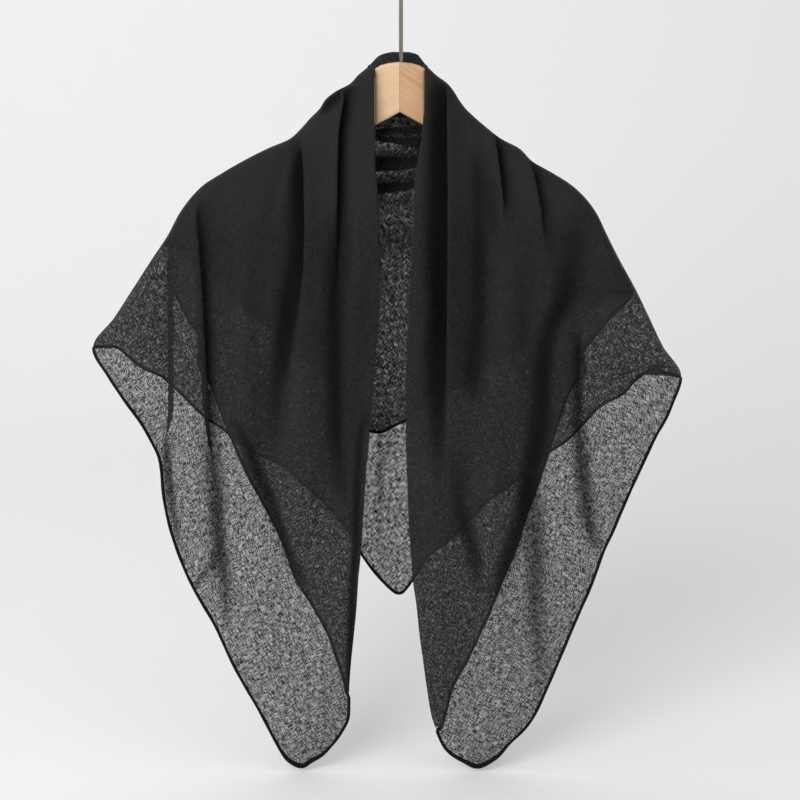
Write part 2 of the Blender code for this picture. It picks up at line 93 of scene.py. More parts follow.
voileSet = {
    "thread": "#252624",        # black cotton voile seen from the front
    "hollowShade": "#070807",        # painted shade: the cloth's colour in the bottom of a fold, where shade falls
    "yarnWidth": 0.95,          # mm, two of the real yarns, which are too fine to show
    "slubLength": 8.0,          # mm, thick and thin stretches of a yarn
    "yarnDetail": 1.0, "yarnRough": 0.6,
    "gapLow": 0.49, "gapHigh": 0.55,   # heights of the noise between which a gap opens
    "openLine": 0.218,          # light let through where one set of yarns parts
    "openCross": 0.7,           # the extra where both sets part
    "cloudScale": 24.0,         # per metre, patches of slightly thicker and thinner cloth
    "cloudFrom": (0.3, 0.7), "cloudTo": (0.92, 1.06),
    "roughness": 0.85,
    "specular": 0.06,
    "sheen": 0.02, "sheenRoughness": 0.5,
    "bump": 0.15, "bumpDepth": 0.2,   # mm
}


def voileMaterial(s):
    # Cotton voile, plain woven from uneven yarn: it gives the eye a crosshatch of slubs
    # that lets the light behind it through as sparkles, and a dull black where it is double.
    made, shader = newMaterial("cottonVoile", {
        "Roughness": s["roughness"], "Specular IOR Level": s["specular"],
        "Sheen Weight": s["sheen"], "Sheen Roughness": s["sheenRoughness"]})
    # painted shade: the fold attribute mixes the base colour from the thread colour to the hollow
    # colour, darkest in the bottom of creases and swags
    fold = addNode(made, "ShaderNodeAttribute", {"attribute_name": "fold"}, {}).outputs["Fac"]
    shadedColour = addNode(made, "ShaderNodeMixRGB",
                   {"blend_type": "MIX", "Color1": linear(s["thread"]),
                    "Color2": linear(s["hollowShade"])},
                   {"Fac": fold})
    made.node_tree.links.new(shadedColour.outputs["Color"], shader.inputs["Base Color"])
    closed = addNode(made, "ShaderNodeAttribute", {"attribute_name": "closed"}, {}).outputs["Fac"]
    uv = addNode(made, "ShaderNodeUVMap", {"uv_map": "weave"}, {}).outputs["UV"]
    fine, long = 1.0 / (s["yarnWidth"] * mm), 1.0 / (s["slubLength"] * mm)
    gaps = []
    for scale in ((fine, long, 1.0), (long, fine, 1.0)):
        place = addNode(made, "ShaderNodeVectorMath", {"operation": "MULTIPLY", 1: scale},
                        {0: uv})
        noise = addNode(made, "ShaderNodeTexNoise",
                        {"noise_dimensions": "2D", "Scale": 1.0, "Detail": s["yarnDetail"],
                         "Roughness": s["yarnRough"]},
                        {"Vector": place.outputs[0]})
        gaps.append(addNode(made, "ShaderNodeMapRange",
                            {"From Min": s["gapLow"], "From Max": s["gapHigh"],
                             "To Min": 0.0, "To Max": 1.0},
                            {"Value": noise.outputs["Fac"]}).outputs["Result"])
    either = addNode(made, "ShaderNodeMath", {"operation": "ADD"}, {0: gaps[0], 1: gaps[1]})
    both = addNode(made, "ShaderNodeMath", {"operation": "MULTIPLY"}, {0: gaps[0], 1: gaps[1]})
    parted = addNode(made, "ShaderNodeMath", {"operation": "MULTIPLY_ADD", 1: s["openCross"]},
                     {0: both.outputs[0], 2: either.outputs[0]})
    cloud = addNode(made, "ShaderNodeTexNoise",
                    {"noise_dimensions": "2D", "Scale": s["cloudScale"], "Detail": 2.0},
                    {"Vector": uv})
    uneven = addNode(made, "ShaderNodeMapRange",
                     {"From Min": s["cloudFrom"][0], "From Max": s["cloudFrom"][1],
                      "To Min": s["cloudTo"][0], "To Max": s["cloudTo"][1]},
                     {"Value": cloud.outputs["Fac"]})
    through = addNode(made, "ShaderNodeMath", {"operation": "MULTIPLY"},
                      {0: parted.outputs[0], 1: uneven.outputs["Result"]})
    slack = addNode(made, "ShaderNodeMath",
                    {"operation": "MULTIPLY_ADD", 1: s["openLine"], 2: -s["openLine"]}, {0: closed})
    alpha = addNode(made, "ShaderNodeMath",
                    {"operation": "MULTIPLY_ADD", 2: 1.0, "use_clamp": True},
                    {0: through.outputs[0], 1: slack.outputs[0]})
    made.node_tree.links.new(alpha.outputs[0], shader.inputs["Alpha"])
    bump = addNode(made, "ShaderNodeBump",
                   {"Strength": s["bump"], "Distance": s["bumpDepth"] * mm},
                   {"Height": alpha.outputs[0]})
    made.node_tree.links.new(bump.outputs["Normal"], shader.inputs["Normal"])
    return made


hemFinish = {"thread": "#080808", "roughness": 0.8, "specular": 0.15,
             "ribScale": 1400.0, "bump": 0.5, "bumpDepth": 0.3}   # per metre and mm


def hemMaterial(s):
    # The voile rolled three times and whipped with black thread: dense, dull and a
    # little ribbed along its length.
    made, shader = newMaterial("rolledHem", {
        "Base Color": linear(s["thread"]), "Roughness": s["roughness"],
        "Specular IOR Level": s["specular"]})
    place = addNode(made, "ShaderNodeTexCoord", {}, {}).outputs["Object"]
    noise = addNode(made, "ShaderNodeTexNoise", {"Scale": s["ribScale"], "Detail": 2.0},
                    {"Vector": place})
    bump = addNode(made, "ShaderNodeBump",
                   {"Strength": s["bump"], "Distance": s["bumpDepth"] * mm},
                   {"Height": noise.outputs["Fac"]})
    made.node_tree.links.new(bump.outputs["Normal"], shader.inputs["Normal"])
    return made


woodSet = {
    "grain": (45.0, 12.0, 3.2),      # mm, how long, deep and wide a streak of grain is
    "grainDetail": 4.0, "grainRough": 0.65,
    "darkAt": 0.34, "paleAt": 0.66,
    "lineColour": "#9C7A55",         # the growth line, and its half width in streaks
    "lineHalf": 0.08, "lineFade": 0.3, "lineStrength": 0.7,
    "roughness": 0.42, "coat": 0.15, "coatRoughness": 0.3,
    "bump": 0.12, "bumpDepth": 0.2,   # mm
}
# pale, dark, slope of the grain in degrees, and where the growth line lies, in streaks
woodHalves = {
    "left": ("#D3B28F", "#CAA47F", -20.0, 90.0),      # its line would lie outside the wood
    "right": ("#C29C77", "#B38A61", 34.0, -32.4),
}


def woodMaterial(name, half, s):
    # Lotus wood, sawn, sanded and satin lacquered: pale, with fine straight grain and a
    # soft even gloss.
    pale, dark, angle, streak = half
    made, shader = newMaterial(name, {
        "Roughness": s["roughness"], "Coat Weight": s["coat"],
        "Coat Roughness": s["coatRoughness"]})
    place = addNode(made, "ShaderNodeTexCoord", {}, {}).outputs["Object"]
    turned = addNode(made, "ShaderNodeMapping",
                     {"vector_type": "TEXTURE", "Rotation": (0.0, math.radians(angle), 0.0),
                      "Scale": tuple(v * mm for v in s["grain"])}, {"Vector": place})
    grain = addNode(made, "ShaderNodeTexNoise",
                    {"Scale": 1.0, "Detail": s["grainDetail"], "Roughness": s["grainRough"]},
                    {"Vector": turned.outputs["Vector"]})
    tone = addNode(made, "ShaderNodeValToRGB", {}, {"Fac": grain.outputs["Fac"]})
    ramp = tone.color_ramp
    ramp.elements[0].position, ramp.elements[0].color = s["darkAt"], linear(dark)
    ramp.elements[1].position, ramp.elements[1].color = s["paleAt"], linear(pale)
    # one dark growth line across the half that has it
    split = addNode(made, "ShaderNodeSeparateXYZ", {}, {0: turned.outputs["Vector"]})
    off = addNode(made, "ShaderNodeMath", {"operation": "SUBTRACT", 1: streak},
                  {0: split.outputs["Z"]})
    side = addNode(made, "ShaderNodeMath", {"operation": "ABSOLUTE"}, {0: off.outputs[0]})
    mark = addNode(made, "ShaderNodeMapRange",
                   {"From Min": s["lineHalf"], "From Max": s["lineFade"],
                    "To Min": s["lineStrength"], "To Max": 0.0},
                   {"Value": side.outputs[0]})
    marked = addNode(made, "ShaderNodeMixRGB",
                     {"blend_type": "MIX", "Color2": linear(s["lineColour"])},
                     {"Fac": mark.outputs["Result"], "Color1": tone.outputs["Color"]})
    made.node_tree.links.new(marked.outputs["Color"], shader.inputs["Base Color"])
    bump = addNode(made, "ShaderNodeBump",
                   {"Strength": s["bump"], "Distance": s["bumpDepth"] * mm},
                   {"Height": grain.outputs["Fac"]})
    made.node_tree.links.new(bump.outputs["Normal"], shader.inputs["Normal"])
    return made


steelSet = {"colour": "#7A736B", "lineScale": (3000.0, 3000.0, 60.0),   # per metre
            "linesFrom": (0.3, 0.7), "roughness": (0.16, 0.28)}


def steelMaterial(s):
    # Drawn and nickel plated steel wire: satin grey with fine lines along the wire.
    made, shader = newMaterial("platedWire", {
        "Base Color": linear(s["colour"]), "Metallic": 1.0})
    place = addNode(made, "ShaderNodeTexCoord", {}, {}).outputs["Object"]
    stretched = addNode(made, "ShaderNodeMapping", {"Scale": s["lineScale"]},
                        {"Vector": place})
    lines = addNode(made, "ShaderNodeTexNoise", {"Scale": 1.0, "Detail": 2.0},
                    {"Vector": stretched.outputs["Vector"]})
    rough = addNode(made, "ShaderNodeMapRange",
                    {"From Min": s["linesFrom"][0], "From Max": s["linesFrom"][1],
                     "To Min": s["roughness"][0], "To Max": s["roughness"][1]},
                    {"Value": lines.outputs["Fac"]})
    made.node_tree.links.new(rough.outputs["Result"], shader.inputs["Roughness"])
    return made


voile, rolled = voileMaterial(voileSet), hemMaterial(hemFinish)
steel = steelMaterial(steelSet)
woodLeft = woodMaterial("lotusWoodLeft", woodHalves["left"], woodSet)
woodRight = woodMaterial("lotusWoodRight", woodHalves["right"], woodSet)
print("materials ready")

# The drape: outline, inner hem and fold edge of the two fronts at each drop, the same
# behind, and how deep the cloth lies before and behind the hanger
frontColumns = ("drop", "outL", "inL", "edgeL", "edgeR", "outR", "inR")
frontRows = (
    (121, -34, -34, -26, 24, 27.5, 27.5), (128, -42.5, -42.5, -26, 23, 35, 35),
    (136, -50, -50, -26, 23, 46, 46), (144, -65, -65, -26, 23, 52.5, 52.5),
    (152, -75, -75, -26, 23, 57.5, 57.5), (160, -80, -80, -26, 23, 63.5, 63.5),
    (170, -90, -90, -26, 22, 74, 74), (180, -99, -99, -25, 21, 86, 86),
    (190, -110, -110, -25, 20, 99, 99), (200, -133, -133, -25, 18, 118, 118),
    (212, -157, -157, -25, 16, 130, 130), (224, -178, -178, -24, 14, 151, 151),
    (236, -197, -197, -23, 13, 170, 170), (250, -211, -211, -22, 12, 185, 185),
    (265, -222, -222, -21, 12, 196, 196), (285, -233, -232, -21, 11, 206, 206),
    (310, -250, -229, -20, 10, 219, 219), (340, -270, -224, -21, 8, 236, 234),
    (370, -290, -212, -22, 7, 251, 205), (400, -312, -200, -25, 6, 266, 188),
    (430, -296, -192, -27, 5, 285, 176), (460, -272, -184, -29, 5, 274, 165),
    (490, -256, -173, -32, 5, 257, 154), (520, -245, -159, -35, 6, 245, 144),
    (550, -243, -145, -37, 7, 234, 136), (580, -238, -132, -39, 8, 221, 127),
    (610, -229, -119, -41, 10, 208, 118), (640, -218, -107, -44, 12, 198, 107),
    (670, -204, -91, -46, 16, 187, 94), (700, -189, -76, -49, 19, 176, 81),
    (730, -175, -66, -52, 23, 164, 68), (760, -161, -58, -54, 27, 152, 54),
    (790, -146, -57, -55, 32, 138, 47), (810, -136, -66, -64, 39, 125, 42),
    (825, -128, -77, -75, 46, 111, 48), (835, -122, -87, -85, 56, 102, 58),
    (842, -114, -99, -97, 69, 91, 71), (846, -107, -103, -102, 77, 83, 78),
)
backColumns = ("drop", "outL", "inL", "inR", "outR")
backRows = (
    (296, -241, -232, 211, 211), (320, -257, -203, 225, 225), (341, -271, -179, 236, 236),
    (360, -284, -160, 196, 246), (380, -297, -139, 160, 256), (400, -312, -118, 127, 266),
    (404, -292, -113, 120, 269), (409, -285, -107, 112, 272), (418, -272, -97, 98, 277),
    (431, -253, -82, 79, 286), (434, -247, -78, 75, 262), (440, -240, -71, 66, 240),
    (448, -230, -63, 55, 231), (471, -207, -57, 17, 201), (483, -196, -48, 1, 191),
    (490, -187, -40, -8, 184), (494, -181, -33, -18, 180), (497, -177, -24, -22, 176),
    (520, -143, -22, -21, 149), (536, -113, -22, -21, 130), (560, -92, -22, -21, 101),
    (586, -68, -22, -21, 74), (611, -49, -22, -21, 48), (630, -40, -22, -21, 28),
    (648, -28, -22, -21, 16), (660, -16, -22, -21, 8), (668, -5, -22, -21, 1),
)
archRows = ((106, -9, 8), (108, -19, 16), (111, -23.5, 19), (114, -27, 21.5), (118, -31, 25),
            (121, -34, 27.5))
depthColumns = ("drop", "neck", "side", "back", "turn")
depthRows = (
    (107, 14, 12, 21, 12), (121, 14, 12, 20, 12), (150, 20, 12, 20, 15), (180, 25, 13, 24, 17),
    (240, 28, 14, 25, 17), (300, 28, 16, 24, 15), (400, 26, 18, 25, 15), (520, 22, 18, 28, 13),
    (700, 18, 16, 28, 12), (850, 15, 15, 28, 10),
)
drape = {
    "wingL": 400.0, "wingR": 431.0,            # drops of the two side corners
    "innerWingL": 296.0, "innerWingR": 341.0,  # where the inner hem turns to the back
    "innerTip": 490.0, "tip": 668.0,           # lowest points of the two layers behind
    "innerEndL": 768.0, "innerEndR": 806.0,    # the inner hem reaches the fold edge
    "foot": 846.0, "top": 106.0, "neck": 121.0,
    "archOutL": -36.0, "archOutR": 29.0,       # the arch over the neck turns in from here
    "layerGap": 1.8,                           # between the two layers
    "armClear": 12.4, "armEnd": 275.0,
    "foldRound": 3.2,                          # how far in the folded edge rounds off
}

placeColumns = ("drop", "x", "size")
swagColumns = ("x", "drop", "size")
# Creases of the fronts where the cloth laps over itself: side, height (positive where the part
# nearer the neck lies in front), rounding, how dark the shade painted in its hollow is, and places
# (drop, x of the edge that shows, and the width hidden under it, which is below 0 where the crease
# opens to a valley and -10 where it ends)
frontCreases = (
    ("L", -9.0, 4.6, 1.0, ((136, -51, -10), (143, -53.7, 3), (163, -57.8, 6), (185, -60.8, 7),
      (229, -62, 6), (274, -63, 3), (309, -63.6, 0), (359, -66, -5), (440, -67.6, -10))),
    ("L", 8.5, 5.0, 1.0, ((184, -98, -10), (203, -96.8, 2), (229, -95.5, 6), (268, -95.4, 7),
      (308, -96.8, 5), (348, -100.8, 1), (389, -107, -4), (450, -116, -10))),
    ("L", -5.5, 4.2, 1.0, ((245, -203, -10), (262, -202, 1), (304, -199.3, 4), (350, -197.2, 7),
      (400, -195.8, 8), (455, -194.6, 8), (490, -193.2, 5.5), (515, -192, 1.5), (540, -190.5, -4),
      (585, -189, -10))),
    ("L", 4.0, 3.4, 0.1, ((270, -230.8, -10), (288, -231.8, 3), (325, -233, 5.5), (380, -234.4, 6),
      (460, -236, 5.5), (482, -238, 2.5), (500, -241, -4), (520, -243, -10))),
    ("R", -10.5, 5.0, 1.0, ((128, 39, -10), (139, 43, 4), (165, 44.6, 7), (249, 45.4, 8),
      (349, 45.4, 6), (430, 45.3, 2), (503, 44.7, -4), (597, 44, -10))),
    ("R", 8.0, 4.2, 1.0, ((172, 90, -10), (188, 92.8, 4), (212, 96.4, 6), (234, 99.6, 5),
      (249, 101.3, 2), (267, 102, -4), (294, 101.3, -10))),
    ("R", 8.0, 4.2, 1.0, ((200, 124, -10), (215, 129, 4), (236, 134.3, 6), (257, 138.6, 5),
      (277, 141.4, 2), (299, 143.2, -4), (339, 143.8, -10))),
    ("R", -5.5, 4.2, 0.7, ((362, 180.6, -10), (390, 179.6, 2), (425, 179.2, 6.5),
      (455, 179.8, 4.5), (480, 181, 0), (510, 183, -5), (550, 186, -10))),
)
# Soft troughs of the fronts: side, width, how dark the shade painted in it is, and places (drop,
# x, depth, which is below 0 for a ridge)
frontTroughs = (
    ("L", 4.5, 4.0, ((129, -49, 0), (137, -56, 3), (146, -64, 4), (156, -72, 3.5), (167, -79, 0))),
    ("L", 6, 0, ((136, -62, 0), (146, -69, -3), (158, -77, -3.5), (172, -80, 0))),
    ("L", 9, 1.4, ((198, -98, 0), (234, -101, 6), (309, -107, 9), (354, -114, 8), (416, -122, 6),
      (447, -127, 4), (514, -130, 0))),
    ("L", 8, 0, ((190, -104, 0), (210, -108.5, -5), (250, -118, -5), (290, -128, 0))),
    ("L", 6, 0.4, ((185, -108, 0), (205, -114, 3), (249, -127.6, 3.5), (310, -142, 0))),
    ("L", 13, 0, ((150, -79, 0), (190, -80.5, -5), (300, -81, -7), (430, -84, -4), (560, -90, 0))),
    ("L", 9, 1.4, ((250, -66, 0), (300, -67, 6), (369, -67.5, 9), (449, -67, 9), (508, -66, 5),
      (560, -58, 0))),
    ("L", 4, 4.0, ((455, -34, 0), (493, -42, 2), (534, -44, 2), (598, -46, 2), (662, -50.5, 2),
      (728, -53, 2), (794, -55, 0))),
    ("L", 7, 1.1, ((465, -172, 0), (490, -158, 5), (516, -149, 6), (549, -138, 6), (584, -126, 5),
      (625, -110, 4), (655, -92, 0))),
    ("L", 8, 2.4, ((440, -198, 0), (479, -196, 4), (527, -193, 7), (558, -189.5, 8),
      (592, -188.5, 8), (625, -184.5, 6), (657, -182, 3), (700, -180, 0))),
    ("L", 4, 2.4, ((600, -187, 0), (610, -190, 4), (626, -195, 5), (634, -202, 5), (644, -211, 3),
      (650, -216, 0))),
    ("L", 4.5, 2.6, ((470, -236, 0), (505, -239, 5), (528, -238, 6), (557, -235, 5),
      (576, -232, 4), (605, -227, 0))),
    ("L", 14, 0, ((330, -160, 0), (400, -158, -4), (520, -156, 0))),
    ("L", 12, 0.4, ((300, -36, 0), (380, -39, 4), (470, -48, 4), (580, -60, 0))),
    ("L", 12, 0.2, ((520, -120, 0), (600, -127, 4), (740, -130, 0))),
    ("R", 8.5, 1.5, ((134, 34, 0), (150, 36, 6), (300, 36.5, 9), (364, 36, 8), (404, 33, 7),
      (470, 33, 4), (520, 35, 0))),
    ("R", 6, 0, ((130, 17.5, 0), (160, 17.6, -2), (400, 18, -2.5), (520, 18, 0))),
    ("R", 8, 0, ((186, 106, 0), (210, 114, -4), (249, 122, -5), (300, 127, -4), (360, 129, 0))),
    ("R", 7, 1.0, ((190, 73, 0), (225, 76, 5), (303, 78, 8), (364, 77.5, 7), (425, 73, 6),
      (460, 75, 0))),
    ("R", 5, 0.8, ((224, 83, 0), (240, 86, 4), (261, 89, 5), (292, 92.5, 0))),
    ("R", 15, 0.5, ((255, 176, 0), (290, 171, 7), (340, 165, 7), (380, 152, 0))),
    ("R", 10, 1.3, ((300, 175, 0), (346, 167, 5), (370, 153, 8), (404, 144, 9), (472, 141.5, 9),
      (532, 132.5, 8), (594, 120, 6), (634, 107, 4), (670, 95, 0))),
    ("R", 8, 1.0, ((500, 58, 0), (556, 60, 4), (587, 66.5, 6), (619, 75, 5), (660, 79, 0))),
    ("R", 7.5, 2.2, ((430, 180, 0), (465, 181, 5), (514, 184, 8), (551, 188, 7), (578, 191.5, 6),
      (596, 197, 4), (612, 205, 0))),
    ("R", 11, 1.6, ((530, 131, 0), (567, 135.5, 5), (612, 138, 6), (684, 139, 4), (733, 145, 2),
      (790, 152, 0))),
    ("R", 14, 0, ((300, 110, 0), (380, 108, -6), (500, 106, 0))),
    ("R", 12, 0.2, ((560, 112, 0), (640, 108, 4), (750, 98, 0))),
)
# Swags of the back, each hanging over the next: height, rounding, and places (x, drop, width
# hidden as above)
swags = (
    (5, 3.4, ((-56, 132, -10), (-28, 146, 3), (0, 149, 5), (28, 147, 3), (54, 134, -10))),
    (5, 3.4, ((-64, 150, -10), (-30, 164, 3), (0, 167, 5), (28, 165, 3), (60, 150, -10))),
    (5, 3.0, ((-84, 160, -10), (-50, 176, 3), (-25, 183.5, 8), (-6, 182.4, 4.5), (21, 181.6, 4),
      (52, 170, 1), (84, 152, -10))),
    (5.5, 3.2, ((-90, 168, -10), (-54, 186, 3), (-25, 191.5, 6), (-6, 193.2, 5), (21, 195.4, 9),
      (56, 184, 3), (92, 166, -10))),
    (7.5, 4.4, ((-118, 180, -10), (-72, 203, 4), (-25, 217, 13), (-3, 216, 11), (21, 214.4, 9),
      (62, 202, 4), (112, 180, -10))),
    (6.5, 3.8, ((-130, 204, -10), (-82, 226, 2), (-25, 241.5, 9), (-3, 239.5, 7), (21, 236, 4.5),
      (72, 226, 0), (128, 204, -10))),
    (9, 10, ((-168, 222, -10), (-80, 262, -2.5), (0, 274, -1.5), (70, 264, -2.5),
      (150, 232, -10))),
    (8, 14, ((-190, 262, -10), (-90, 306, -3.5), (0, 322, -2.5), (80, 310, -3.5),
      (180, 270, -10))),
)
# Soft dark patches of shade painted on the back's cloth, and where its yarns lie close or, below 0,
# open: middle (x, drop), half width, half height, and how dark the painted shade or how close
backShadePatches = ((-21.8, 540, 4, 52, 0.6), (-12, 505, 10, 22, 0.3))
backCloses = ((0, 112, 44, 13, 0.65), (0, 190, 60, 60, -0.25), (0, 360, 60, 130, -0.2),
              (0, 590, 60, 60, 0.12))
# How close the yarns lie in a fold, on the arms down to a drop, and more so on the inner layer
closing = {"fold": 0.85, "arms": 0.8, "armsTo": 235.0, "fade": 75.0, "inner": 0.2,
           "most": 1.0, "least": -0.4}
# The hem behind runs higher by the right corner
hemRise = {"x": 263.0, "drop": 436.0, "wide": 17.0, "tall": 30.0, "rise": 9.5}
# Slow waves of hanging cloth: height, mm of x and of drop to one radian
waves = {
    "from": 185.0, "grown": 130.0,             # they start below the arms
    "calmFrom": 540.0, "calmed": 160.0, "calm": 0.45,
    "broad": (5.2, 8.8, 230.0), "narrow": (1.7, 4.9, -110.0), "level": (0.8, 30.0, 37.0),
    "fine": (0.35, 6.1, 23.0),
    "nearEdge": 25.0, "leastAtEdge": 0.3,      # they are lower by the folded edge
    "behind": 1.1, "behindPhase": 2.0,
    "swell": (4.0, 31.0, 190.0), "swellFrom": 260.0, "swellGrown": 120.0,   # the back alone
}
# Widths over which one form passes into the next
blends = {
    "neck": 95.0,        # the cloth is deeper this close to the neck
    "edge": 14.0,        # creases are drawn across less by the folded edge
    "corner": 60.0,      # below a side corner the front and back part
    "armEnd": 30.0,      # past the arm's end the cloth is free
    "armSoft": 2.5, "armSkin": 2.0,
    "flankFrom": 60.0, "flank": 180.0,   # behind, the neck's depth passes to the side's
    "split": 25.0,       # over the foot the inner hem runs into the folded edge
}
# How far a crease is drawn across, in roundings: up to flat it hides nothing, at full it has
# its whole height, and it opens over the last mm of hidden width below 0
lapSet = {"flat": 0.6065, "most": 6.0, "full": 1.5, "opens": 10.0, "steps": (120, 200)}
# Painted shade in the hollows: where a crease or swag is darkest and over what width, in roundings
# from its middle; how a trough's painted shade falls off, and its depth in mm at full dark; how
# fast the painted shades add up to black
hollows = {"crease": (1.4, 1.2), "swag": (2.1, 0.9), "trough": 1.4, "troughDeep": 8.0,
           "front": 1.5, "back": 1.3}


def smoothStep(t):
    t = np.clip(t, 0.0, 1.0)
    return t * t * (3 - 2 * t)


def column(rows, columns, name, drop):
    # a table's column at any drop, on a monotone cubic through its rows
    x = np.array([r[0] for r in rows], float)
    y = np.array([r[columns.index(name)] for r in rows], float)
    h, d = np.diff(x), np.diff(y) / np.diff(x)
    m = np.zeros(len(x))
    same = d[1:] * d[:-1] > 0
    w1, w2 = 2 * h[1:] + h[:-1], h[1:] + 2 * h[:-1]
    safe = np.where(same, d[1:], 1.0), np.where(same, d[:-1], 1.0)
    m[1:-1] = np.where(same, (w1 + w2) / (w1 / safe[1] + w2 / safe[0]), 0.0)
    m[0], m[-1] = d[0], d[-1]
    drop = np.clip(np.asarray(drop, float), x[0], x[-1])
    i = np.clip(np.searchsorted(x, drop) - 1, 0, len(h) - 1)
    t = (drop - x[i]) / h[i]
    return (y[i] * (1 + 2 * t) * (1 - t) ** 2 + h[i] * m[i] * t * (1 - t) ** 2
            + y[i + 1] * t * t * (3 - 2 * t) + h[i] * m[i + 1] * t * t * (t - 1))


def frontTable(name, drop):
    return column(frontRows, frontColumns, name, drop)


def depthTable(name, drop):
    return column(depthRows, depthColumns, name, drop)


def sCurve(u):
    return u * np.exp((1 - u * u) / 2)


def turnIn(inside, reach):
    # 0 at the outline, 1 once the cloth has turned to the front or back
    t = np.clip(inside / reach, 0.0, 1.0)
    return np.sqrt(np.maximum(1 - (1 - t) ** 2, 0.0))


def holdOff(depth, drop):
    # keeps the cloth clear of the arms that it lies on
    past = smoothStep((drop - drape["armEnd"]) / blends["armEnd"])
    least = drape["armClear"] * (1 - past) + blends["armSkin"]
    return least + blends["armSoft"] * np.logaddexp(0.0, (depth - least) / blends["armSoft"])


# the width that a crease hides once it is drawn across past flat, per rounding
drawn = np.linspace(lapSet["flat"], lapSet["most"], lapSet["steps"][0])
lapU = np.linspace(0.0, 1.0, lapSet["steps"][1])
lapHides = np.array([2 * np.max(-lapU + r * sCurve(lapU)) for r in drawn])


def lapOf(hidden, rounding):
    # how far a crease is drawn across, per rounding, to hide that width
    return np.where(hidden > 0, np.interp(hidden / rounding, lapHides, drawn),
                    lapSet["flat"] * smoothStep(1 + hidden / lapSet["opens"]))


def lapShare(lap):
    # how much of its height and its dark hollow a crease has
    return np.minimum(lap / lapSet["full"], 1.0)


def creaseAt(places, height, rounding, sign, drop):
    # x of a crease's middle and how far it is drawn across
    hidden = column(places, placeColumns, "size", drop)
    edge = column(places, placeColumns, "x", drop)
    middle = edge - sign * math.copysign(0.5, height) * np.maximum(hidden, 0.0)
    return middle, lapOf(hidden, rounding)


def wave(name, x, drop, phase=0.0):
    height, acrossRun, downRun = waves[name]
    return height * np.sin(x / acrossRun + drop / downRun + phase)


def ripple(x, drop, phase):
    grown = smoothStep((drop - waves["from"]) / waves["grown"])
    calmed = smoothStep((drop - waves["calmFrom"]) / waves["calmed"])
    moving = wave("broad", x, drop, phase) + wave("narrow", x, drop) + wave("level", x, drop)
    return grown * (1 - waves["calm"] * calmed) * moving + wave("fine", x, drop)


def frontPoint(side, x, drop):
    x, drop = np.asarray(x, float), np.asarray(drop, float)
    sign = -1.0 if side == "L" else 1.0
    outline, edge = frontTable("out" + side, drop), frontTable("edge" + side, drop)
    away = np.abs(x - edge)
    near = np.exp(-(away / blends["neck"]) ** 2)
    depth = depthTable("side", drop) * (1 - near) + depthTable("neck", drop) * near
    held = np.clip(away / waves["nearEdge"], waves["leastAtEdge"], 1.0)
    depth = depth + ripple(x, drop, sign) * held
    shift = np.zeros_like(depth)
    for foldSide, height, rounding, _, places in frontCreases:
        if foldSide == side:
            middle, lap = creaseAt(places, height, rounding, sign, drop)
            curve = sCurve(-sign * (x - middle) / rounding)
            shift = shift + sign * lap * rounding * curve
            depth = depth + height * lapShare(lap) * curve
    for foldSide, width, _, places in frontTroughs:
        if foldSide == side:
            u = (x - column(places, placeColumns, "x", drop)) / width
            depth = depth - column(places, placeColumns, "size", drop) * np.exp(-u * u)
    shift = shift * (1 - np.exp(-(away / blends["edge"]) ** 2))
    depth = holdOff(depth, drop)
    free = smoothStep((drop - drape["wing" + side]) / blends["corner"])
    turned = free + (1 - free) * turnIn(sign * (outline - x), depthTable("turn", drop))
    return np.stack([x + shift * turned, -depth * turned, -drop + 0 * x], axis=-1)


def frontFoldShade(side, x, drop):
    # painted shade and how close the yarns lie: 0 on open cloth, 1 deep in a fold
    sign = -1.0 if side == "L" else 1.0
    fold = np.zeros(x.shape)
    for foldSide, height, rounding, dark, places in frontCreases:
        if foldSide == side:
            middle, lap = creaseAt(places, height, rounding, sign, drop)
            sunk = math.copysign(1.0, height) * sign * (x - middle) / rounding
            at, wide = hollows["crease"]
            fold = fold + dark * lapShare(lap) * np.exp(-((sunk - at) / wide) ** 2)
    for foldSide, width, dark, places in frontTroughs:
        if foldSide == side and dark:
            u = (x - column(places, placeColumns, "x", drop)) / width
            size = column(places, placeColumns, "size", drop)
            deep = np.clip(size / hollows["troughDeep"], 0, 1)
            fold = fold + dark * deep * np.exp(-hollows["trough"] * u * u)
    return 1 - np.exp(-hollows["front"] * fold)


def onArms(drop):
    return closing["arms"] * (1 - smoothStep((drop - closing["armsTo"]) / closing["fade"]))


def frontClosed(fold, drop):
    return np.clip(closing["fold"] * fold + onArms(drop), 0.0, closing["most"])


def patch(x, drop, midX, midDrop, wide, tall):
    return np.exp(-((x - midX) / wide) ** 2 - ((drop - midDrop) / tall) ** 2)


def backClosed(fold, x, drop):
    closed = closing["fold"] * fold
    for midX, midDrop, wide, tall, close in backCloses:
        closed = closed + close * patch(x, drop, midX, midDrop, wide, tall)
    return np.clip(closed, closing["least"], closing["most"])


def backFoldShade(x, drop):
    # painted shade and how close the yarns lie: dark in the hollow just above each swag's lip and
    # in the painted shade patches
    fold = np.zeros(x.shape)
    for height, rounding, places in swags:
        line = column(places, swagColumns, "drop", x)
        lap = lapOf(column(places, swagColumns, "size", x), rounding)
        u = (line - drop) / rounding
        at, wide = hollows["swag"]
        fold = fold + lapShare(lap) * np.exp(-((u - at) / wide) ** 2)
    for midX, midDrop, wide, tall, dark in backShadePatches:
        fold = fold + dark * patch(x, drop, midX, midDrop, wide, tall)
    return 1 - np.exp(-hollows["back"] * fold)


def backSides(drop):
    archDrops = [r[0] for r in archRows]
    archL, archR = (np.interp(drop, archDrops, [r[i] for r in archRows]) for i in (1, 2))
    sides = []
    for side, arch in (("L", archL), ("R", archR)):
        hem = column(backRows, backColumns, "out" + side, drop)
        out = np.where(drop > drape["wing" + side], hem, frontTable("out" + side, drop))
        sides.append(np.where(drop < drape["neck"], arch, out))
    return sides


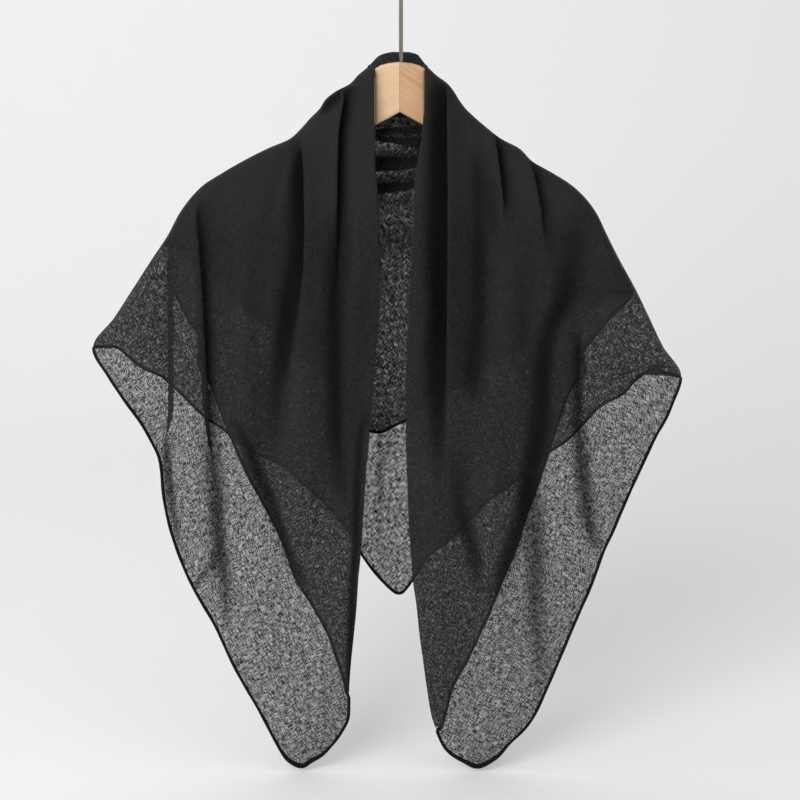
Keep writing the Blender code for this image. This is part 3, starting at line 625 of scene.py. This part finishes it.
def backPoint(x, drop):
    x, drop = np.asarray(x, float), np.asarray(drop, float)
    depth = depthTable("back", drop) * np.ones_like(x)
    lift = np.zeros_like(depth)
    for height, rounding, places in swags:
        line = column(places, swagColumns, "drop", x)
        slope = column(places, swagColumns, "drop", x + 1.0) - line
        lap = lapOf(column(places, swagColumns, "size", x), rounding)
        curve = sCurve((drop - line) / np.sqrt(1 + slope ** 2) / rounding)
        depth = depth + height * lapShare(lap) * curve
        lift = lift + lap * rounding * curve
    lift = lift + hemRise["rise"] * patch(x, drop, hemRise["x"], hemRise["drop"],
                                          hemRise["wide"], hemRise["tall"])
    away = np.clip((np.abs(x) - blends["flankFrom"]) / blends["flank"], 0, 1)
    depth = depth * (1 - away) + depthTable("side", drop) * away
    swell = smoothStep((drop - waves["swellFrom"]) / waves["swellGrown"]) * (1 - away)
    depth = depth + wave("swell", x, drop) * swell
    depth = depth + waves["behind"] * ripple(x, drop, waves["behindPhase"])
    depth = holdOff(depth, drop)
    limits = []
    for side in "LR":
        outline = frontTable("out" + side, np.minimum(drop, drape["wing" + side]))
        limits.append(np.where(drop < drape["neck"], drape["archOut" + side], outline))
    reach = depthTable("turn", drop)
    freeL, freeR = (smoothStep((drop - drape["wing" + side]) / blends["corner"])
                    for side in "LR")
    turned = np.minimum(freeL + (1 - freeL) * turnIn(x - limits[0], reach),
                        freeR + (1 - freeR) * turnIn(limits[1] - x, reach))
    return np.stack([x, depth * turned, -drop + lift * turned], axis=-1)


def spaced(place, left, right, drop, cells, crowd):
    # x of a row's columns, evenly along the cloth, closer together round the places in crowd
    fine = np.linspace(left, right, meshSet["samples"])
    line = place(fine, np.full(len(fine), float(drop)))
    step = np.linalg.norm(np.diff(line, axis=0), axis=1) + 1e-6
    middle = (fine[1:] + fine[:-1]) / 2
    for x, width, more in crowd:
        near = (middle - x) / (meshSet["crowdReach"] * width)
        step = step * (1 + more * np.exp(-near ** 2))
    run = np.concatenate([[0], np.cumsum(step)])
    return np.interp(np.linspace(0, run[-1], cells + 1), run, fine)


def normalsOf(grid):
    normal = np.cross(np.gradient(grid, axis=1), np.gradient(grid, axis=0))
    return normal / np.maximum(np.linalg.norm(normal, axis=-1, keepdims=True), 1e-9)


def roundIn(distance):
    # 1 at a folded edge, 0 where its rounding ends
    t = np.clip(distance / drape["foldRound"], 0.0, 1.0)
    return 1 - np.sqrt(np.maximum(1 - (1 - t) ** 2, 0.0))


def dense(marks):
    # drops of the rows between marks (drop, step to the next)
    parts = [np.linspace(a, b, max(1, round((b - a) / step)) + 1)[:-1]
             for (a, step), (b, _) in zip(marks, marks[1:])]
    return np.concatenate(parts + [[marks[-1][0]]])


meshSet = {
    "rows": ((121, 2.2), (172, 1.3), (248, 2.6), (296, 3.6), (341, 3.8), (400, 3.8), (431, 4.0),
             (483, 4.0), (668, 4.4), (768, 3.8), (806, 3.0), (832, 2.0), (846, 2.0)),
    "archRows": ((106, 1.5), (121, 1.5)),
    "frontCells": (48, 22), "backCells": (14, 70),   # inner and outer, side and middle
    "samples": 300, "crowdReach": 1.4,
    "edgeCrowd": (3, 2.0), "outlineCrowd": (5, 2.0), "creaseCrowd": 1.0,   # width, how much
    "merge": 0.3, "hemMerge": 0.02,                  # mm
}
# A row's cells divide at the inner hem. Above and below that hem they divide at a share of the
# row's width, which changes down the shoulders.
splitSet = {"from": 200.0, "frontTop": 0.80, "frontMore": 0.16, "frontFoot": 0.35,
            "backTop": 0.28, "backLess": 0.24, "backFoot": 0.3,
            "footOver": 3.0,      # mm, the inner layer stops this far above its end at the foot
            "tipUnder": 6.0, "tipClear": 8.0}   # mm, and this far below its tip behind
rows = dense(meshSet["rows"])
arch = dense(meshSet["archRows"])[:-1]


def frontGrids(side):
    # both layers of a front: columns from the fold edge to the inner hem, then to the outline
    sign = -1.0 if side == "L" else 1.0
    wing, low, end = (drape[name + side] for name in ("wing", "innerWing", "innerEnd"))
    first, last = frontTable("edge" + side, rows), frontTable("out" + side, rows)
    s = splitSet
    share = s["frontTop"] + s["frontMore"] * smoothStep((rows - s["from"]) / (low - s["from"]))
    split = np.where(rows < low, first + (last - first) * share, frontTable("in" + side, rows))
    blend = smoothStep((rows - end + s["footOver"]) / blends["split"])
    split = split * (1 - blend) + (first + (last - first) * s["frontFoot"]) * blend
    place = lambda a, b: frontPoint(side, a, b)
    innerCells, outerCells = meshSet["frontCells"]
    grid, columns = [], []
    for drop, x0, x1, x2 in zip(rows, first, split, last):
        crowd = [(float(creaseAt(places, height, rounding, sign, drop)[0]), rounding,
                  meshSet["creaseCrowd"])
                 for foldSide, height, rounding, _, places in frontCreases
                 if foldSide == side and places[0][0] < drop < places[-1][0]]
        crowd.append((x0, *meshSet["edgeCrowd"]))
        if drop < wing:
            crowd.append((x2, *meshSet["outlineCrowd"]))
        x = np.concatenate([spaced(place, x0, x1, drop, innerCells, crowd)[:-1],
                            spaced(place, x1, x2, drop, outerCells, crowd)])
        columns.append(x)
        grid.append(place(x, np.full(len(x), drop)))
    grid, columns = np.array(grid), np.array(columns)
    normal = normalsOf(grid) * sign
    normal[rows < wing, -1, 1] = 0.0
    normal /= np.linalg.norm(normal, axis=-1, keepdims=True)
    whole = 1 - smoothStep((rows - end + blends["split"]) / blends["split"])
    held = roundIn(np.abs(columns - columns[:, :1])) * whole[:, None]
    gap = drape["layerGap"]
    outer = grid + normal * gap / 2 * held[..., None]
    inner = grid + normal * gap * (1 - held[..., None] / 2)
    return outer, inner, columns


def backGrids():
    drops = np.concatenate([arch, rows[rows <= drape["tip"] + atRow]])
    left, right = backSides(drops)
    hemL, hemR = (column(backRows, backColumns, n, drops) for n in ("inL", "inR"))
    lowL, lowR = drape["innerWingL"], drape["innerWingR"]
    width = right - left
    s = splitSet
    sunk = [smoothStep((drops - s["from"]) / (low - s["from"])) for low in (lowL, lowR)]
    shareL, shareR = (s["backTop"] - s["backLess"] * part for part in sunk)
    splitL = np.where(drops < lowL, left + width * shareL, hemL)
    splitR = np.where(drops < lowR, right - width * shareR, hemR)
    below = drops > drape["innerTip"] + s["tipClear"]
    splitL = np.where(below, left + width * s["backFoot"], splitL)
    splitR = np.where(below, right - width * s["backFoot"], splitR)
    sideCells, middleCells = meshSet["backCells"]
    grid, columns = [], []
    for drop, x0, x1, x2, x3 in zip(drops, left, splitL, splitR, right):
        reach, more = meshSet["outlineCrowd"]
        crowd = [(x0, reach, more * (drop < drape["wingL"])),
                 (x3, reach, more * (drop < drape["wingR"]))]
        x = np.concatenate([spaced(backPoint, x0, x1, drop, sideCells, crowd)[:-1],
                            spaced(backPoint, x1, x2, drop, middleCells, crowd)[:-1],
                            spaced(backPoint, x2, x3, drop, sideCells, crowd)])
        columns.append(x)
        grid.append(backPoint(x, np.full(len(x), drop)))
    grid, columns = np.array(grid), np.array(columns)
    normal = -normalsOf(grid)
    shoulders = drops >= drape["neck"]
    normal[shoulders & (drops < drape["wingL"]), 0, 1] = 0.0
    normal[shoulders & (drops < drape["wingR"]), -1, 1] = 0.0
    normal /= np.linalg.norm(normal, axis=-1, keepdims=True)
    rim = np.minimum(np.abs(columns - columns[:, :1]), np.abs(columns - columns[:, -1:]))
    # only the arch over the neck is a folded edge here, so below it nothing rounds off
    down = drops[:, None]
    rim = np.where(down < drape["neck"], np.minimum(rim, down - drape["top"]), np.inf)
    held = roundIn(rim)[..., None]
    gap = drape["layerGap"]
    outer, inner = grid + normal * gap / 2 * held, grid + normal * gap * (1 - held / 2)
    return outer, inner, columns, drops


def addSheet(bm, grid, weave, folds, closed, keep=lambda row, col: True):
    # one stretch of cloth as a grid, less the cells that aren't kept
    count, across = grid.shape[0], grid.shape[1]
    part = bmesh.new()
    bmesh.ops.create_grid(part, x_segments=across - 1, y_segments=count - 1, size=1.0)
    part.verts.ensure_lookup_table()
    flat = np.array([v.co[:2] for v in part.verts])
    col = np.round((flat[:, 0] + 1) / 2 * (across - 1)).astype(int)
    row = np.round((flat[:, 1] + 1) / 2 * (count - 1)).astype(int)
    weaveLayer = part.loops.layers.uv.new("weave")
    # each point's painted shade, and how close its yarns lie
    foldLayer = part.verts.layers.float.new("fold")
    closedLayer = part.verts.layers.float.new("closed")
    gone = [f for f in part.faces
            if not keep(min(row[v.index] for v in f.verts), min(col[v.index] for v in f.verts))]
    for face in part.faces:
        for loop in face.loops:
            i = loop.vert.index
            loop[weaveLayer].uv = weave[row[i], col[i]]
    for vert in part.verts:
        at = row[vert.index], col[vert.index]
        vert.co = Vector(grid[at] * mm)
        vert[foldLayer] = folds[at]
        vert[closedLayer] = closed[at]
    bmesh.ops.delete(part, geom=gone, context="FACES")
    made = bpy.data.meshes.new("stretch")
    part.to_mesh(made)
    part.free()
    bm.from_mesh(made)
    bpy.data.meshes.remove(made)


weaveTurns = {"L": 27.0, "R": 63.0, "back": 45.0}   # the yarns run along the hems
# metres between the layers' places in the pattern, so that their yarns don't line up
weaveShifts = {"frontInner": 0.37, "backOuter": 0.71, "backInner": 1.13}
atRow = 0.01   # mm, a row counts as lying at a drop within this


def lengths(grid, axis):
    # how far each point lies along the cloth, from the first
    step = np.linalg.norm(np.diff(grid, axis=axis), axis=-1)
    start = np.zeros_like(np.take(step, [0], axis=axis))
    return np.concatenate([start, np.cumsum(step, axis=axis)], axis=axis)


def weaveOf(along, across, turn):
    # weave coordinates in metres, turned so that both sets of yarns run along the hems
    a = math.radians(turn)
    return np.stack([along * math.cos(a) + across * math.sin(a),
                     along * math.sin(a) - across * math.cos(a)], axis=-1) * mm


def bindTo(name, bm, material):
    mesh = bpy.data.meshes.new(name)
    bm.to_mesh(mesh)
    bm.free()
    mesh.shade_smooth()
    mesh.materials.append(material)
    made = bpy.data.objects.new(name, mesh)
    scene.collection.objects.link(made)
    return made


fronts = {side: frontGrids(side) for side in "LR"}
backOuter, backInner, backX, backDrops = backGrids()
print("drape worked out")

# the inner layer's two stretches share their line along the shoulder
for side, last in (("L", 0), ("R", -1)):
    shared = rows <= drape["innerWing" + side] + atRow
    at = len(arch) + np.nonzero(shared)[0]
    backInner[at, last] = fronts[side][1][shared, -1]

clothMesh = bmesh.new()
clothMesh.loops.layers.uv.new("weave")
clothMesh.verts.layers.float.new("fold")
clothMesh.verts.layers.float.new("closed")
innerCells = meshSet["frontCells"][0]
for side in "LR":
    sign = -1.0 if side == "L" else 1.0
    outer, inner, columns = fronts[side]
    low, end = drape["innerWing" + side], drape["innerEnd" + side]
    across = lengths(outer, 1) + np.abs(columns[:, :1])
    weave = weaveOf(rows[:, None] + 0 * across, sign * across, weaveTurns[side])
    # painted shade in the creases and troughs, and how close the yarns lie there
    folds = frontFoldShade(side, columns, rows[:, None])
    closed = frontClosed(folds, rows[:, None])
    addSheet(clothMesh, outer, weave, folds, closed)
    addSheet(clothMesh, inner, weave + weaveShifts["frontInner"], folds, closed + closing["inner"],
             lambda row, col: rows[row + 1] <= end - splitSet["footOver"]
             and (rows[row + 1] <= low + atRow or col < innerCells))
sideCells, middleCells = meshSet["backCells"]
middleLine = lengths(backPoint(np.zeros(len(backDrops)), backDrops), 0)
backRun = lengths(backOuter, 1)
across = np.array([run - np.interp(0.0, x, run) for run, x in zip(backRun, backX)])
weave = weaveOf(across, middleLine[:, None] + 0 * across, weaveTurns["back"])
# painted shade under the swags and in the patches, and how close the yarns lie there
folds = backFoldShade(backX, backDrops[:, None] + 0 * backX)
closed = backClosed(folds, backX, backDrops[:, None])
addSheet(clothMesh, backOuter, weave + weaveShifts["backOuter"], folds, closed)
addSheet(clothMesh, backInner, weave + weaveShifts["backInner"], folds,
         closed + closing["inner"],
         lambda row, col: backDrops[row + 1] <= drape["innerTip"] + splitSet["tipUnder"]
         and (backDrops[row + 1] <= drape["innerWingL"] + atRow or col >= sideCells)
         and (backDrops[row + 1] <= drape["innerWingR"] + atRow or col < sideCells + middleCells))
rim = [v for v in clothMesh.verts if v.is_boundary]
bmesh.ops.remove_doubles(clothMesh, verts=rim, dist=meshSet["merge"] * mm)
bmesh.ops.recalc_face_normals(clothMesh, faces=clothMesh.faces)
scarf = bindTo("scarf", clothMesh, voile)
print("scarf", len(scarf.data.polygons), "faces")

# The rolled hem, one closed line round the square
hemSet = {
    "radius": 1.6, "tipRadius": 2.7, "tipReach": 14.0,   # mm, thicker at the foot's corner
    "step": 1.5, "stitch": 3.2, "stitchDepth": 0.10,     # mm, the whipping's stitches
    "uneven": 0.16, "unevenRuns": (7.3, 19.1),           # mm, how the roll swells
    "smooth": 3, "sides": 3,
}


def hemLine():
    # from the foot up the inner hem to its tip behind, down the other side, and back round
    # the outer hem
    parts = []
    for side in "LR":
        outer, inner = fronts[side][:2]
        wing, low, end = (drape[name + side] for name in ("wing", "innerWing", "innerEnd"))
        edge = 0 if side == "L" else -1
        stop = end - splitSet["footOver"]
        foot = outer[rows >= stop, 0]
        front = inner[(rows >= low) & (rows < stop), innerCells][::-1]
        at = sideCells if side == "L" else sideCells + middleCells
        tipDrop = drape["innerTip"] + splitSet["tipUnder"]
        behind = backInner[(backDrops > low) & (backDrops <= tipDrop), at]
        outerFront = outer[rows >= wing, -1][::-1]
        outerBack = backOuter[backDrops > wing, edge]
        parts.append((np.concatenate([foot[::-1], front, behind]),
                      np.concatenate([outerFront, outerBack])))
    innerL, outerL = parts[0]
    innerR, outerR = parts[1]
    return np.concatenate([innerL, innerR[::-1], outerR, outerL[::-1]])


def evenly(points, step):
    # points a step apart on a closed line, and how far along it each lies
    points = np.concatenate([points, points[:1]])
    run = np.concatenate([[0], np.cumsum(np.linalg.norm(np.diff(points, axis=0), axis=1))])
    keep = np.concatenate([[True], np.diff(run) > 1e-6])
    at = np.linspace(0, run[-1], int(run[-1] / step) + 1)[:-1]
    return np.stack([np.interp(at, run[keep], points[keep, i]) for i in range(3)], axis=1), at


def softened(points, times):
    for _ in range(times):
        points = (np.roll(points, 1, axis=0) + 2 * points + np.roll(points, -1, axis=0)) / 4
    return points


hemPath, hemRun = evenly(hemLine(), hemSet["step"])
hemPath = softened(hemPath, hemSet["smooth"])
curve = bpy.data.curves.new("rolledHem", "CURVE")
curve.dimensions = "3D"
curve.bevel_depth = mm
curve.bevel_resolution = hemSet["sides"] - 1
line = curve.splines.new("POLY")
line.points.add(len(hemPath) - 1)
line.use_cyclic_u = True
placed = np.concatenate([hemPath * mm, np.ones((len(hemPath), 1))], axis=1)
line.points.foreach_set("co", placed.ravel())
tip = np.exp(-((hemPath[:, 2] + drape["foot"]) / hemSet["tipReach"]) ** 2)
thick = hemSet["radius"] + (hemSet["tipRadius"] - hemSet["radius"]) * tip
thick = thick + hemSet["stitchDepth"] * np.sin(2 * math.pi * hemRun / hemSet["stitch"])
quick, slow = hemSet["unevenRuns"]
thick = thick + hemSet["uneven"] * np.sin(hemRun / quick) * np.sin(hemRun / slow)
line.points.foreach_set("radius", thick)
hemTemp = bpy.data.objects.new("hemTemp", curve)
scene.collection.objects.link(hemTemp)
hemMesh = bmesh.new()
hemMesh.from_mesh(bpy.data.meshes.new_from_object(hemTemp))
bpy.data.objects.remove(hemTemp)
bmesh.ops.remove_doubles(hemMesh, verts=hemMesh.verts, dist=meshSet["hemMerge"] * mm)
bmesh.ops.recalc_face_normals(hemMesh, faces=hemMesh.faces)
hem = bindTo("rolled_hem", hemMesh, rolled)
print("hem", round(hemRun[-1]), "mm long,", len(hem.data.polygons), "faces")

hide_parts("front_left_outer", "front_left_inner", "front_right_outer", "front_right_inner",
            "back_outer", "back_inner")
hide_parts("hem_left_outer", "hem_left_inner", "hem_right_outer", "hem_right_inner")
for piece, slot in ((scarf, "voile"), (hem, "hem")):
    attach(piece, "root")

# The hanger keeps its own solids
for node, material in (("arm_left", woodLeft), ("arm_right", woodRight), ("hook", steel)):
    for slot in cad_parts[node].material_slots:
        slot.material = material
print("hanger finished")

# Floor that sweeps up behind, and soft studio light
stageSet = {"floor": -0.8525, "flatEnd": 1.4, "round": 1.6, "wide": 4.0, "near": -3.0,   # metres
            "length": 9.0, "cells": 60,
            "paper": "#F3F2F2", "roughness": 0.95, "specular": 0.1}


def sweep(s):
    bm = bmesh.new()
    bmesh.ops.create_grid(bm, x_segments=1, y_segments=s["cells"], size=1.0)
    flat = s["flatEnd"] - s["near"]
    turn = s["round"] * math.pi / 2
    for vert in bm.verts:
        run = (vert.co.y + 1) / 2 * s["length"]
        if run < flat:
            y, z = s["near"] + run, 0.0
        elif run < flat + turn:
            a = (run - flat) / s["round"]
            y, z = s["flatEnd"] + s["round"] * math.sin(a), s["round"] * (1 - math.cos(a))
        else:
            y, z = s["flatEnd"] + s["round"], s["round"] + run - flat - turn
        vert.co = Vector((vert.co.x * s["wide"], y, s["floor"] + z))
    # Matt background paper: even and nearly white, with hardly any gloss
    paper = newMaterial("paperSweep", {
        "Base Color": linear(s["paper"]), "Roughness": s["roughness"],
        "Specular IOR Level": s["specular"]})[0]
    return bindTo("sweep", bm, paper)


sweep(stageSet)

# name, place, target, side in metres, watts
lightSet = (
    ("key", (-1.5, -3.0, 1.1), (0.0, 0.0, -0.45), 2.3, 96.0),
    ("fill", (2.3, -2.2, 0.4), (0.0, 0.0, -0.45), 1.8, 8.0),
    ("wash", (-1.2, 0.5, 2.3), (-0.9, 2.6, -0.4), 2.4, 20.0),
)
worldStrength = 0.52
for name, place, target, size, power in lightSet:
    data = bpy.data.lights.new(name, "AREA")
    data.shape = "SQUARE"
    data.size = size
    data.energy = power
    made = bpy.data.objects.new(name, data)
    made.location = place
    made.rotation_euler = (Vector(target) - Vector(place)).to_track_quat("-Z", "Y").to_euler()
    scene.collection.objects.link(made)
world = bpy.data.worlds.new("studio")
scene.world = world
world.use_nodes = True
backdrop = world.node_tree.nodes["Background"]
backdrop.inputs["Color"].default_value = (1.0, 1.0, 1.0, 1.0)
backdrop.inputs["Strength"].default_value = worldStrength
print("stage and lights ready")
